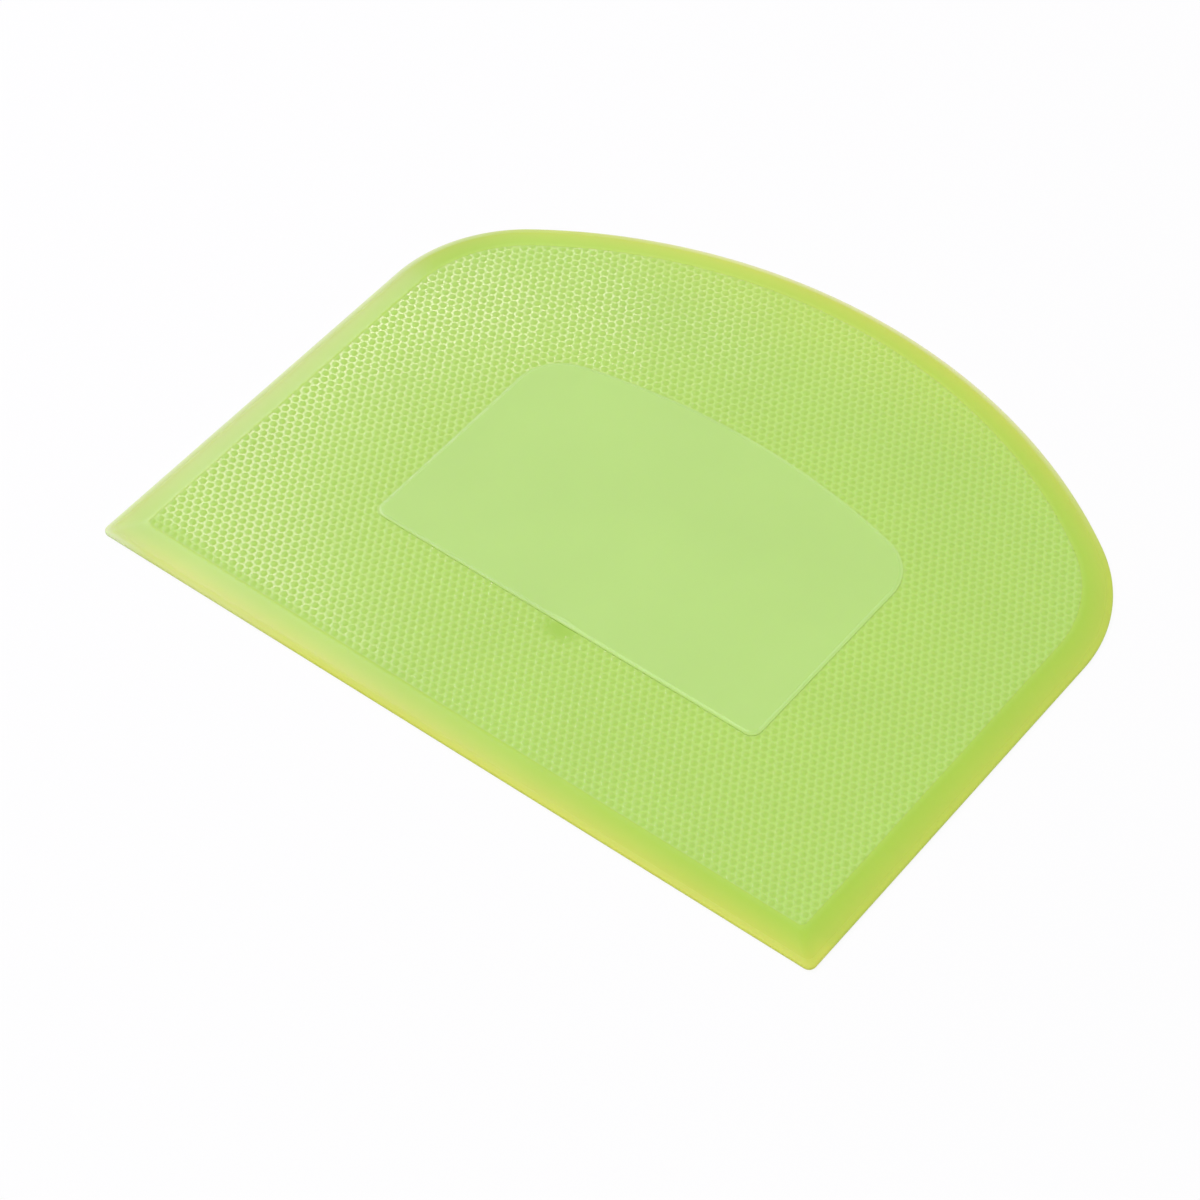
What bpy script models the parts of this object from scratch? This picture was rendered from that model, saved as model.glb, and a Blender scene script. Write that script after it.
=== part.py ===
"""Bowl scraper: a thin D shaped plate of flexible lime green plastic.

The straight scraping edge lies at the front, along X, and the curved one at the back. The scraper
rests flat on Z = 0, with the origin under the middle of its outline. Sizes are in metres.

The plate is divided into three pieces. A bevelled lip runs all round and carries a ledge on its
inner side. The grip plate drops on to that ledge with a rebate in its underside, so the two lap
with no slot right through. The label panel lies in a shallow pocket and stands slightly proud.
"""

import math
from dataclasses import dataclass

import bmesh
import bpy

# Outline of the whole scraper, seen from above
WIDTH = 0.1200
LENGTH = 0.1025
CROWN_RISE = 0.0261
SHOULDER_RADIUS = 0.0253
CORNER_RADIUS = 0.0011

# Section, from the thin outer edge up the bevel to the flat field
EDGE_THICKNESS = 0.0005
PLATE_THICKNESS = 0.0015
BEVEL_WIDTH = 0.0045
CREASE_CORNER_RADIUS = 0.0008

# Lap joint under the crease, and the gap that every joint keeps
LEDGE_WIDTH = 0.0020
LEDGE_THICKNESS = 0.0004
JOINT_GAP = 0.0003

# Label panel, set back from the straight edge and centred across the width
PANEL_SETBACK = 0.0258
PANEL_WIDTH = 0.0652
PANEL_LENGTH = 0.0444
PANEL_CROWN_RISE = 0.0054
PANEL_SHOULDER_RADIUS = 0.0080
PANEL_CORNER_RADIUS = 0.0016
PANEL_PROUD = 0.0003
PANEL_EDGE_ROUND = 0.00012
POCKET_DEPTH = 0.0007

# Points along each arc, and how far a cutter runs past the solid it cuts
CORNER_STEPS = 4
SHOULDER_STEPS = 14
CROWN_STEPS = 36
EDGE_ROUND_STEPS = 2
CUTTER_OVERRUN = 0.0020
WELD_DISTANCE = 0.000005
SHARP_ANGLE = math.radians(25)

# Colours of the plastic as it looks over a pale ground: field, bevel and smooth panel
FIELD_GREEN = (0.49, 0.71, 0.17)
BEVEL_GREEN = (0.50, 0.69, 0.11)
PANEL_GREEN = (0.51, 0.74, 0.22)


@dataclass(frozen=True)
class DOutline:
    """A closed D: straight front, parallel sides, rounded shoulders and an arc across the back."""

    half_width: float
    front: float
    back: float
    crown_radius: float
    shoulder_radius: float
    corner_radius: float

    @classmethod
    def from_rise(cls, width, front, length, rise, shoulder_radius, corner_radius):
        """The D whose back arc rises by the given height above the two sides it joins."""
        half = width / 2
        crown_radius = (half**2 + rise**2) / (2 * rise)
        return cls(half, front, front + length, crown_radius, shoulder_radius, corner_radius)

    def inset(self, distance, corner_radius):
        """The D that runs parallel inside this one, with front corners of its own radius."""
        return DOutline(
            self.half_width - distance,
            self.front + distance,
            self.back - distance,
            self.crown_radius - distance,
            self.shoulder_radius - distance,
            corner_radius,
        )

    def points(self):
        """The outline's points, anticlockwise from the left side's lower end."""
        corner_x = self.half_width - self.corner_radius
        corner_y = self.front + self.corner_radius
        crown_y = self.back - self.crown_radius
        shoulder_x = self.half_width - self.shoulder_radius
        reach = self.crown_radius - self.shoulder_radius
        shoulder_y = crown_y + math.sqrt(reach**2 - shoulder_x**2)
        meet = math.atan2(shoulder_y - crown_y, shoulder_x)

        def corner(x, start):
            return arc(x, corner_y, self.corner_radius, start, start + math.pi / 2, CORNER_STEPS)

        def shoulder(x, start):
            return arc(x, shoulder_y, self.shoulder_radius, start, start + meet, SHOULDER_STEPS)

        crown = arc(0.0, crown_y, self.crown_radius, meet, math.pi - meet, CROWN_STEPS)
        left_corner = corner(-corner_x, math.pi)
        right_corner = corner(corner_x, 1.5 * math.pi)
        right_shoulder = shoulder(shoulder_x, 0.0)
        left_shoulder = shoulder(-shoulder_x, math.pi - meet)
        return left_corner + right_corner + right_shoulder + crown[1:-1] + left_shoulder


def arc(x, y, radius, start, end, steps):
    """Points along an arc about (x, y), with both of its ends."""
    angles = [start + (end - start) * step / steps for step in range(steps + 1)]
    return [(x + radius * math.cos(angle), y + radius * math.sin(angle)) for angle in angles]


def clear_scene():
    """Remove whatever the file starts with."""
    for item in list(bpy.data.objects):
        bpy.data.objects.remove(item, do_unlink=True)


def make_collection(name):
    """A new collection linked to the scene."""
    collection = bpy.data.collections.new(name)
    bpy.context.scene.collection.children.link(collection)
    return collection


def make_material(name, colour, roughness):
    """A plain plastic with the given colour and roughness."""
    material = bpy.data.materials.new(name)
    material.use_nodes = True
    shader = material.node_tree.nodes["Principled BSDF"]
    shader.inputs["Base Color"].default_value = (*colour, 1.0)
    shader.inputs["Roughness"].default_value = roughness
    shader.inputs["Metallic"].default_value = 0.0
    return material


def slab_mesh(name, outlines, bottom, top):
    """A flat slab between two heights. The first outline is its edge, and any other a hole."""
    curve = bpy.data.curves.new(name, "CURVE")
    curve.dimensions = "2D"
    curve.fill_mode = "BOTH"
    curve.extrude = (top - bottom) / 2
    for outline in outlines:
        points = outline.points()
        spline = curve.splines.new("POLY")
        spline.points.add(len(points) - 1)
        for spline_point, (x, y) in zip(spline.points, points):
            spline_point.co = (x, y, 0.0, 1.0)
        spline.use_cyclic_u = True

    guide = bpy.data.objects.new(name, curve)
    bpy.context.scene.collection.objects.link(guide)
    bpy.context.view_layer.update()
    evaluated = guide.evaluated_get(bpy.context.evaluated_depsgraph_get())
    mesh = bpy.data.meshes.new_from_object(evaluated)
    bpy.data.objects.remove(guide, do_unlink=True)
    bpy.data.curves.remove(curve)

    shape = bmesh.new()
    shape.from_mesh(mesh)
    bmesh.ops.remove_doubles(shape, verts=shape.verts, dist=WELD_DISTANCE)
    bmesh.ops.translate(shape, verts=shape.verts, vec=(0.0, 0.0, (top + bottom) / 2))
    bmesh.ops.recalc_face_normals(shape, faces=shape.faces)
    shape.to_mesh(mesh)
    shape.free()
    mesh.name = name
    return mesh


def ring_mesh(name, section):
    """A closed ring lofted through pairs of an outline and its height, back to the first pair."""
    shape = bmesh.new()
    rings = []
    for outline, height in section:
        rings.append([shape.verts.new((x, y, height)) for x, y in outline.points()])
    count = len(rings[0])
    for ring, following in zip(rings, rings[1:] + rings[:1]):
        for index in range(count):
            beside = (index + 1) % count
            shape.faces.new((ring[index], ring[beside], following[beside], following[index]))
    bmesh.ops.recalc_face_normals(shape, faces=shape.faces)
    mesh = bpy.data.meshes.new(name)
    shape.to_mesh(mesh)
    shape.free()
    return mesh


def add_piece(mesh, collection, parent, material):
    """Put a piece in the collection, under the scraper's origin."""
    piece = bpy.data.objects.new(mesh.name, mesh)
    piece.parent = parent
    mesh.materials.append(material)
    mesh.shade_smooth()
    mesh.set_sharp_from_angle(angle=SHARP_ANGLE)
    collection.objects.link(piece)
    return piece


def add_cut(piece, cutter_mesh, cutters):
    """Cut a shape out of a piece, and keep the cutter as a hidden wire object."""
    cutter = bpy.data.objects.new(cutter_mesh.name, cutter_mesh)
    cutter.parent = piece.parent
    cutter.hide_render = True
    cutter.display_type = "WIRE"
    cutters.objects.link(cutter)
    cut = piece.modifiers.new(cutter.name, "BOOLEAN")
    cut.operation = "DIFFERENCE"
    cut.solver = "EXACT"
    cut.object = cutter


def plate_outline():
    """The scraper's outer edge."""
    front = -LENGTH / 2
    return DOutline.from_rise(WIDTH, front, LENGTH, CROWN_RISE, SHOULDER_RADIUS, CORNER_RADIUS)


def panel_outline():
    """The label panel's edge."""
    front = -LENGTH / 2 + PANEL_SETBACK
    return DOutline.from_rise(
        PANEL_WIDTH,
        front,
        PANEL_LENGTH,
        PANEL_CROWN_RISE,
        PANEL_SHOULDER_RADIUS,
        PANEL_CORNER_RADIUS,
    )


def build_scraping_lip(parts, parent):
    """The bevelled rim: thin outer edge, slope up to the crease, and the ledge that the plate sits on."""
    edge = plate_outline()
    crease = edge.inset(BEVEL_WIDTH, CREASE_CORNER_RADIUS)
    ledge_end = edge.inset(BEVEL_WIDTH + LEDGE_WIDTH, CREASE_CORNER_RADIUS)
    section = [
        (edge, 0.0),
        (edge, EDGE_THICKNESS),
        (crease, PLATE_THICKNESS),
        (crease, LEDGE_THICKNESS),
        (ledge_end, LEDGE_THICKNESS),
        (ledge_end, 0.0),
    ]
    material = make_material("lip_plastic", BEVEL_GREEN, 0.30)
    return add_piece(ring_mesh("scraping_lip", section), parts, parent, material)


def build_grip_plate(parts, cutters, parent):
    """The flat textured plate, with a rebate under its edge and a pocket for the panel."""
    edge = plate_outline()
    seat_corner = CREASE_CORNER_RADIUS - JOINT_GAP
    top_edge = edge.inset(BEVEL_WIDTH + JOINT_GAP, seat_corner)
    foot_edge = edge.inset(BEVEL_WIDTH + LEDGE_WIDTH + JOINT_GAP, seat_corner)
    pocket_edge = panel_outline().inset(-JOINT_GAP, PANEL_CORNER_RADIUS + JOINT_GAP)

    slab = slab_mesh("grip_plate", [top_edge], 0.0, PLATE_THICKNESS)
    plate = add_piece(slab, parts, parent, make_material("plate_plastic", FIELD_GREEN, 0.45))

    beyond = top_edge.inset(-CUTTER_OVERRUN, CREASE_CORNER_RADIUS)
    rebate_top = LEDGE_THICKNESS + JOINT_GAP
    rebate = slab_mesh("rebate_cutter", [beyond, foot_edge], -CUTTER_OVERRUN, rebate_top)
    add_cut(plate, rebate, cutters)

    pocket_floor = PLATE_THICKNESS - POCKET_DEPTH
    pocket_top = PLATE_THICKNESS + CUTTER_OVERRUN
    pocket = slab_mesh("pocket_cutter", [pocket_edge], pocket_floor, pocket_top)
    add_cut(plate, pocket, cutters)
    return plate


def build_label_panel(parts, parent):
    """The smooth panel that lies in the pocket, with its edges lightly rounded."""
    bottom = PLATE_THICKNESS - POCKET_DEPTH + JOINT_GAP
    top = PLATE_THICKNESS + PANEL_PROUD
    slab = slab_mesh("label_panel", [panel_outline()], bottom, top)
    panel = add_piece(slab, parts, parent, make_material("panel_plastic", PANEL_GREEN, 0.35))
    rounding = panel.modifiers.new("edge_round", "BEVEL")
    rounding.width = PANEL_EDGE_ROUND
    rounding.segments = EDGE_ROUND_STEPS
    rounding.limit_method = "ANGLE"
    rounding.angle_limit = SHARP_ANGLE
    return panel


def main():
    """Build the scraper."""
    clear_scene()
    parts = make_collection("bowl_scraper")
    cutters = make_collection("cutters")
    origin = bpy.data.objects.new("scraper_origin", None)
    parts.objects.link(origin)
    build_scraping_lip(parts, origin)
    build_grip_plate(parts, cutters, origin)
    build_label_panel(parts, origin)
    bpy.context.view_layer.update()


main()
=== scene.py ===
"""Looks of a bowl scraper: a thin D shaped plate of translucent lime green plastic.

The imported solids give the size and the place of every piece. Three dressed pieces stand on them: the
bevelled lip, the plate with its moulded honeycomb, and the smooth panel with the mark of the gate.
"""

import logging
import math
from dataclasses import dataclass, field
from enum import Enum
from typing import Any

import bmesh
import bpy
import numpy as np
from mathutils import Matrix, Vector


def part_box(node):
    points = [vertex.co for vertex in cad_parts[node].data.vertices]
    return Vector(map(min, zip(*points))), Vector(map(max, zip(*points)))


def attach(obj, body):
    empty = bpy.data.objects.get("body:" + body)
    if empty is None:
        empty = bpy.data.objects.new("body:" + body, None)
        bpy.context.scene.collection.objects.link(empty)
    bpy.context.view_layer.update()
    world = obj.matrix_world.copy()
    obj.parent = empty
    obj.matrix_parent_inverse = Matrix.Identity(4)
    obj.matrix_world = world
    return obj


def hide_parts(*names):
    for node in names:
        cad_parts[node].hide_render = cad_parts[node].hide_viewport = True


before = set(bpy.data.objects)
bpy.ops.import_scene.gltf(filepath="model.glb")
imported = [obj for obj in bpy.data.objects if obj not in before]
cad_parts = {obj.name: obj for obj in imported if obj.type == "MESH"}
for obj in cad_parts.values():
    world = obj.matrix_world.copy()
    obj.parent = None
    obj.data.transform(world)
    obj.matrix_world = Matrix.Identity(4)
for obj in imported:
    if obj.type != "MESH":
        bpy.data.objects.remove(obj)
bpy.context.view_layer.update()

LOG = logging.getLogger("bowl_scraper")
MM = 0.001
ROOT = "root"
GATE_X = 0.7 * MM
GATE_SMEAR = 0.8 * MM
STEEP = math.radians(50)
Colour = tuple[float, float, float]
Pair = tuple[float, float]


def from_srgb(red: int, green: int, blue: int) -> Colour:
    """Turn a screen colour into the linear colour that a shader takes.

    Args:
        red: Red, from 0 to 255.
        green: Green, from 0 to 255.
        blue: Blue, from 0 to 255.

    Returns:
        The three linear values, each (s / 255 + 0.055) / 1.055 to the power 2.4.
    """
    return tuple(((value / 255 + 0.055) / 1.055) ** 2.4 for value in (red, green, blue))


def smooth_step(low: float, high: float, value: np.ndarray) -> np.ndarray:
    """Ease from 0 at low to 1 at high, as 3 t^2 - 2 t^3.

    Args:
        low: Where the result leaves 0.
        high: Where the result reaches 1.
        value: Values to ease.

    Returns:
        An array of the same shape, from 0 to 1.
    """
    t = np.clip((value - low) / (high - low), 0.0, 1.0)
    return t * t * (3 - 2 * t)


@dataclass(frozen=True)
class ArcSteps:
    """How many points an outline spends on each of its stretches."""

    corner: int = 6
    side: int = 40
    shoulder: int = 28
    crown: int = 90
    front: int = 120


@dataclass(frozen=True)
class Outline:
    """A D seen from above: straight front, parallel sides, rounded shoulders and an arc at the back."""

    half_width: float
    front: float
    back: float
    crown_radius: float
    shoulder_radius: float
    corner_radius: float

    def inset(self, distance: float, corner_radius: float) -> "Outline":
        """Find the D that runs parallel inside this one.

        Args:
            distance: How far inside it runs.
            corner_radius: Radius of its own front corners.

        Returns:
            The inner outline, about the same arc centres.
        """
        radii = (self.crown_radius - distance, self.shoulder_radius - distance, corner_radius)
        return Outline(self.half_width - distance, self.front + distance, self.back - distance, *radii)

    def centres(self) -> tuple[float, float, float, float]:
        """Find the arcs' centres.

        Returns:
            Y of the crown's centre, X and Y of the right shoulder's, and the angle where they meet.
        """
        crown_y = self.back - self.crown_radius
        shoulder_x = self.half_width - self.shoulder_radius
        reach = self.crown_radius - self.shoulder_radius
        shoulder_y = crown_y + math.sqrt(reach**2 - shoulder_x**2)
        meet = math.atan2(shoulder_y - crown_y, shoulder_x)
        return crown_y, shoulder_x, shoulder_y, meet

    def points(self, steps: ArcSteps) -> np.ndarray:
        """Walk the outline anticlockwise from the left end of the front.

        Each arc is centre + radius (cos a, sin a) for evenly spaced a, and each straight run is
        evenly spaced between the arcs' ends.

        Args:
            steps: How many points each stretch gets.

        Returns:
            Points as rows of X and Y. Outlines made with the same steps match point by point.
        """
        crown_y, shoulder_x, shoulder_y, meet = self.centres()
        corner_x = self.half_width - self.corner_radius
        corner_y = self.front + self.corner_radius

        def arc(x: float, y: float, radius: float, start: float, end: float, count: int) -> np.ndarray:
            """Walk an arc, without its last point."""
            angle = np.linspace(start, end, count, endpoint=False)
            return np.stack([x + radius * np.cos(angle), y + radius * np.sin(angle)], axis=1)

        def run(start: tuple[float, float], end: tuple[float, float], count: int) -> np.ndarray:
            """Walk a straight run, without its last point."""
            return np.linspace(start, end, count, endpoint=False)

        half = math.pi / 2
        right = [
            run((-corner_x, self.front), (corner_x, self.front), steps.front),
            arc(corner_x, corner_y, self.corner_radius, -half, 0.0, steps.corner),
            run((self.half_width, corner_y), (self.half_width, shoulder_y), steps.side),
            arc(shoulder_x, shoulder_y, self.shoulder_radius, 0.0, meet, steps.shoulder),
        ]
        crown = [arc(0.0, crown_y, self.crown_radius, meet, math.pi - meet, steps.crown)]
        left = [
            arc(-shoulder_x, shoulder_y, self.shoulder_radius, math.pi - meet, math.pi, steps.shoulder),
            run((-self.half_width, shoulder_y), (-self.half_width, corner_y), steps.side),
            arc(-corner_x, corner_y, self.corner_radius, math.pi, math.pi + half, steps.corner),
        ]
        return np.concatenate(right + crown + left)

    def distance(self, places: np.ndarray) -> np.ndarray:
        """Measure how far points lie outside the outline, exactly for points near it.

        The point is mirrored to positive X. It belongs to the crown where its direction from the
        crown's centre is steeper than the meeting angle, to the shoulder or the corner where it
        lies past that arc's centre, and otherwise to the nearer straight edge.

        Args:
            places: Points, with X and Y in the first two columns.

        Returns:
            Distances, positive outside and negative inside.
        """
        crown_y, shoulder_x, shoulder_y, meet = self.centres()
        x = np.abs(places[:, 0])
        y = places[:, 1]
        corner_x = self.half_width - self.corner_radius
        corner_y = self.front + self.corner_radius
        straight = np.maximum(x - self.half_width, self.front - y)
        crown = np.hypot(x, y - crown_y) - self.crown_radius
        shoulder = np.hypot(x - shoulder_x, y - shoulder_y) - self.shoulder_radius
        corner = np.hypot(x - corner_x, y - corner_y) - self.corner_radius
        on_crown = (y - crown_y) * math.cos(meet) >= x * math.sin(meet)
        on_shoulder = (y > shoulder_y) & (x > shoulder_x)
        on_corner = (y < corner_y) & (x > corner_x)
        return np.select([on_crown & (y > 0), on_shoulder, on_corner], [crown, shoulder, corner], straight)


@dataclass
class Surface:
    """Vertices and faces as whole arrays, with one value of each attribute for every vertex."""

    vertices: np.ndarray
    faces: list[np.ndarray]
    attributes: dict[str, np.ndarray] = field(default_factory=dict)

    def to_mesh(self, name: str) -> bpy.types.Mesh:
        """Write the arrays into a new mesh.

        Args:
            name: The mesh's name.

        Returns:
            The mesh, smooth shaded.
        """
        mesh = bpy.data.meshes.new(name)
        sizes = np.concatenate([np.full(len(block), block.shape[1]) for block in self.faces])
        corners = np.concatenate([block.ravel() for block in self.faces])
        mesh.vertices.add(len(self.vertices))
        mesh.vertices.foreach_set("co", self.vertices[:, :3].astype(np.float32).ravel())
        mesh.loops.add(len(corners))
        mesh.loops.foreach_set("vertex_index", corners.astype(np.int32))
        mesh.polygons.add(len(sizes))
        mesh.polygons.foreach_set("loop_start", (np.cumsum(sizes) - sizes).astype(np.int32))
        mesh.update(calc_edges=True)
        for label, values in self.attributes.items():
            layer = mesh.attributes.new(label, "FLOAT", "POINT")
            layer.data.foreach_set("value", values.astype(np.float32))
        mesh.shade_smooth()
        return mesh


def ring_surface(section: np.ndarray, rings: np.ndarray, closed: bool) -> Surface:
    """Loft quads through outlines that match point by point.

    Ring k is the outline at section row k, at height section[k, 1]. Point j of ring k joins point
    j + 1 of the same ring and point j of ring k + 1.

    Args:
        section: Rows of inset and height, one for each ring.
        rings: The outlines, as rings by points by X and Y.
        closed: Whether the last ring joins the first.

    Returns:
        The surface, with each vertex's inset as an attribute.
    """
    ring_count, point_count = rings.shape[:2]
    heights = np.repeat(section[:, 1], point_count)
    vertices = np.column_stack([rings.reshape(-1, 2), heights])
    index = np.arange(ring_count * point_count).reshape(ring_count, point_count)
    lower = index if closed else index[:-1]
    upper = np.roll(index, -1, axis=0) if closed else index[1:]
    quads = np.stack([lower, np.roll(lower, -1, 1), np.roll(upper, -1, 1), upper], axis=-1)
    return Surface(vertices, [quads.reshape(-1, 4)], {"inset": np.repeat(section[:, 0], point_count)})


def cut_triangles(vertices: np.ndarray, triangles: np.ndarray,
                  distance: np.ndarray) -> tuple[np.ndarray, np.ndarray]:
    """Keep the part of a triangle mesh where a distance is negative.

    A side from a to b is cut at a + (b - a) d_a / (d_a - d_b), with d taken as linear along it.

    Args:
        vertices: Rows of X, Y, Z and any further values, which are carried to the cut points.
        triangles: Rows of three vertex numbers.
        distance: One distance for each vertex.

    Returns:
        The vertices and the triangles that are left.
    """
    inside = distance < 0
    count = inside[triangles].sum(axis=1)

    def odd_first(rows: np.ndarray, odd: np.ndarray) -> np.ndarray:
        """Turn each triangle so that its one odd corner comes first."""
        turn = (np.arange(3) + odd.argmax(axis=1)[:, None]) % 3
        return np.take_along_axis(rows, turn, axis=1)

    whole = triangles[count == 3]
    one_in = triangles[count == 1]
    two_in = triangles[count == 2]
    one_in = odd_first(one_in, inside[one_in])
    two_in = odd_first(two_in, ~inside[two_in])
    straddling = np.concatenate([one_in, two_in])
    sides = np.concatenate([straddling[:, [0, 1]], straddling[:, [0, 2]]])
    unique, inverse = np.unique(np.sort(sides, axis=1), axis=0, return_inverse=True)
    first, second = unique[:, 0], unique[:, 1]
    share = distance[first] / (distance[first] - distance[second])
    cuts = vertices[first] + (vertices[second] - vertices[first]) * share[:, None]
    number = inverse.reshape(-1) + len(vertices)
    near, far = number[: len(straddling)], number[len(straddling):]
    split = len(one_in)
    tips = np.column_stack([one_in[:, 0], near[:split], far[:split]])
    left = np.column_stack([near[split:], two_in[:, 1], two_in[:, 2]])
    right = np.column_stack([near[split:], two_in[:, 2], far[split:]])
    kept = np.concatenate([whole, tips, left, right])
    used, renumbered = np.unique(kept, return_inverse=True)
    return np.concatenate([vertices, cuts])[used], renumbered.reshape(kept.shape)


@dataclass
class Wire:
    """A value that runs through a shader, so that Python arithmetic on it adds the nodes."""

    sheet: "ShaderSheet"
    socket: bpy.types.NodeSocket

    def __add__(self, other: "Wire | float") -> "Wire":
        """Add."""
        return self.sheet.math("ADD", self, other)

    def __radd__(self, other: float) -> "Wire":
        """Add to a number."""
        return self.sheet.math("ADD", other, self)

    def __sub__(self, other: "Wire | float") -> "Wire":
        """Subtract."""
        return self.sheet.math("SUBTRACT", self, other)

    def __rsub__(self, other: float) -> "Wire":
        """Subtract from a number."""
        return self.sheet.math("SUBTRACT", other, self)

    def __mul__(self, other: "Wire | float") -> "Wire":
        """Multiply."""
        return self.sheet.math("MULTIPLY", self, other)

    def __rmul__(self, other: float) -> "Wire":
        """Multiply a number."""
        return self.sheet.math("MULTIPLY", other, self)

    def __truediv__(self, other: "Wire | float") -> "Wire":
        """Divide."""
        return self.sheet.math("DIVIDE", self, other)

    def __rpow__(self, other: float) -> "Wire":
        """Raise a number to this power."""
        return self.sheet.math("POWER", other, self)


class ShaderSheet:
    """The node tree of a material or a world, with one method for every kind of node."""

    def __init__(self, owner: bpy.types.Material | bpy.types.World) -> None:
        """Empty the owner's nodes.

        Args:
            owner: The material or world.
        """
        self.owner = owner
        owner.use_nodes = True
        self.tree = owner.node_tree
        self.tree.nodes.clear()

    def add(self, kind: str, settings: dict[str, Any] | None = None,
            sockets: dict[str | int, Any] | None = None) -> bpy.types.Node:
        """Add a node.

        Args:
            kind: The node's type.
            settings: Its own settings, such as an operation. They are set first.
            sockets: Values or wires for its inputs, by name or number.

        Returns:
            The node.
        """
        node = self.tree.nodes.new(kind)
        for name, value in (settings or {}).items():
            setattr(node, name, value)
        for name, value in (sockets or {}).items():
            if isinstance(value, Wire):
                self.tree.links.new(value.socket, node.inputs[name])
            else:
                node.inputs[name].default_value = value
        return node

    def math(self, operation: str, first: Wire | float, second: Wire | float, clamp: bool = False) -> Wire:
        """Add a Math node.

        Args:
            operation: What it does.
            first: Its first value.
            second: Its second value.
            clamp: Whether the result is held between 0 and 1.

        Returns:
            The result.
        """
        settings = {"operation": operation, "use_clamp": clamp}
        return Wire(self, self.add("ShaderNodeMath", settings, {0: first, 1: second}).outputs[0])

    def attribute(self, name: str) -> Wire:
        """Read a value that the mesh stores on its vertices."""
        return Wire(self, self.add("ShaderNodeAttribute", {"attribute_name": name}).outputs["Fac"])

    def place(self) -> Wire:
        """Read the place on the object, in metres."""
        return Wire(self, self.add("ShaderNodeTexCoord").outputs["Object"])

    def axes(self, vector: Wire) -> tuple[Wire, Wire, Wire]:
        """Split a vector.

        Args:
            vector: The vector.

        Returns:
            Its X, Y and Z.
        """
        node = self.add("ShaderNodeSeparateXYZ", sockets={0: vector})
        return tuple(Wire(self, output) for output in node.outputs)

    def noise(self, vector: Wire, size: float, detail: float) -> Wire:
        """Add soft noise.

        Args:
            vector: Where to read it.
            size: How far apart its lumps are, in metres.
            detail: How many finer layers it has.

        Returns:
            Values about 0.5.
        """
        values = {"Vector": vector, "Scale": 1.0 / size, "Detail": detail, "Roughness": 0.5}
        return Wire(self, self.add("ShaderNodeTexNoise", sockets=values).outputs["Fac"])

    def ease(self, value: Wire, low: float, high: float) -> Wire:
        """Ease a value from 0 at low to 1 at high.

        Args:
            value: The value.
            low: Where the result leaves 0.
            high: Where the result reaches 1.

        Returns:
            The eased value.
        """
        settings = {"interpolation_type": "SMOOTHSTEP", "clamp": True}
        sockets = {"Value": value, "From Min": low, "From Max": high}
        return Wire(self, self.add("ShaderNodeMapRange", settings, sockets).outputs["Result"])

    def blend(self, share: Wire | float, first: Wire | Colour, second: Wire | Colour,
              mode: str = "MIX") -> Wire:
        """Mix two colours.

        Args:
            share: How much of the second there is.
            first: The first colour.
            second: The second colour.
            mode: How they are mixed.

        Returns:
            The mixed colour.
        """
        def opaque(colour: Wire | Colour) -> Wire | tuple[float, float, float, float]:
            """Give a plain colour its alpha."""
            return colour if isinstance(colour, Wire) else (*colour, 1.0)

        settings = {"data_type": "RGBA", "blend_type": mode, "clamp_factor": True}
        sockets = {0: share, 6: opaque(first), 7: opaque(second)}
        return Wire(self, self.add("ShaderNodeMix", settings, sockets).outputs[2])

    def finish(self, shader: bpy.types.Node,
               output: str = "ShaderNodeOutputMaterial") -> bpy.types.Material | bpy.types.World:
        """Send a shader to the output.

        Args:
            shader: The last shader node.
            output: The output node's type.

        Returns:
            The finished material or world.
        """
        self.add(output, sockets={"Surface": Wire(self, shader.outputs[0])})
        return self.owner


class Skin(Enum):
    """The three skins that the one plastic comes out of the mould with."""

    HONEYCOMB = "honeycomb"
    BEVEL = "bevel"
    SMOOTH = "smooth"


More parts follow.
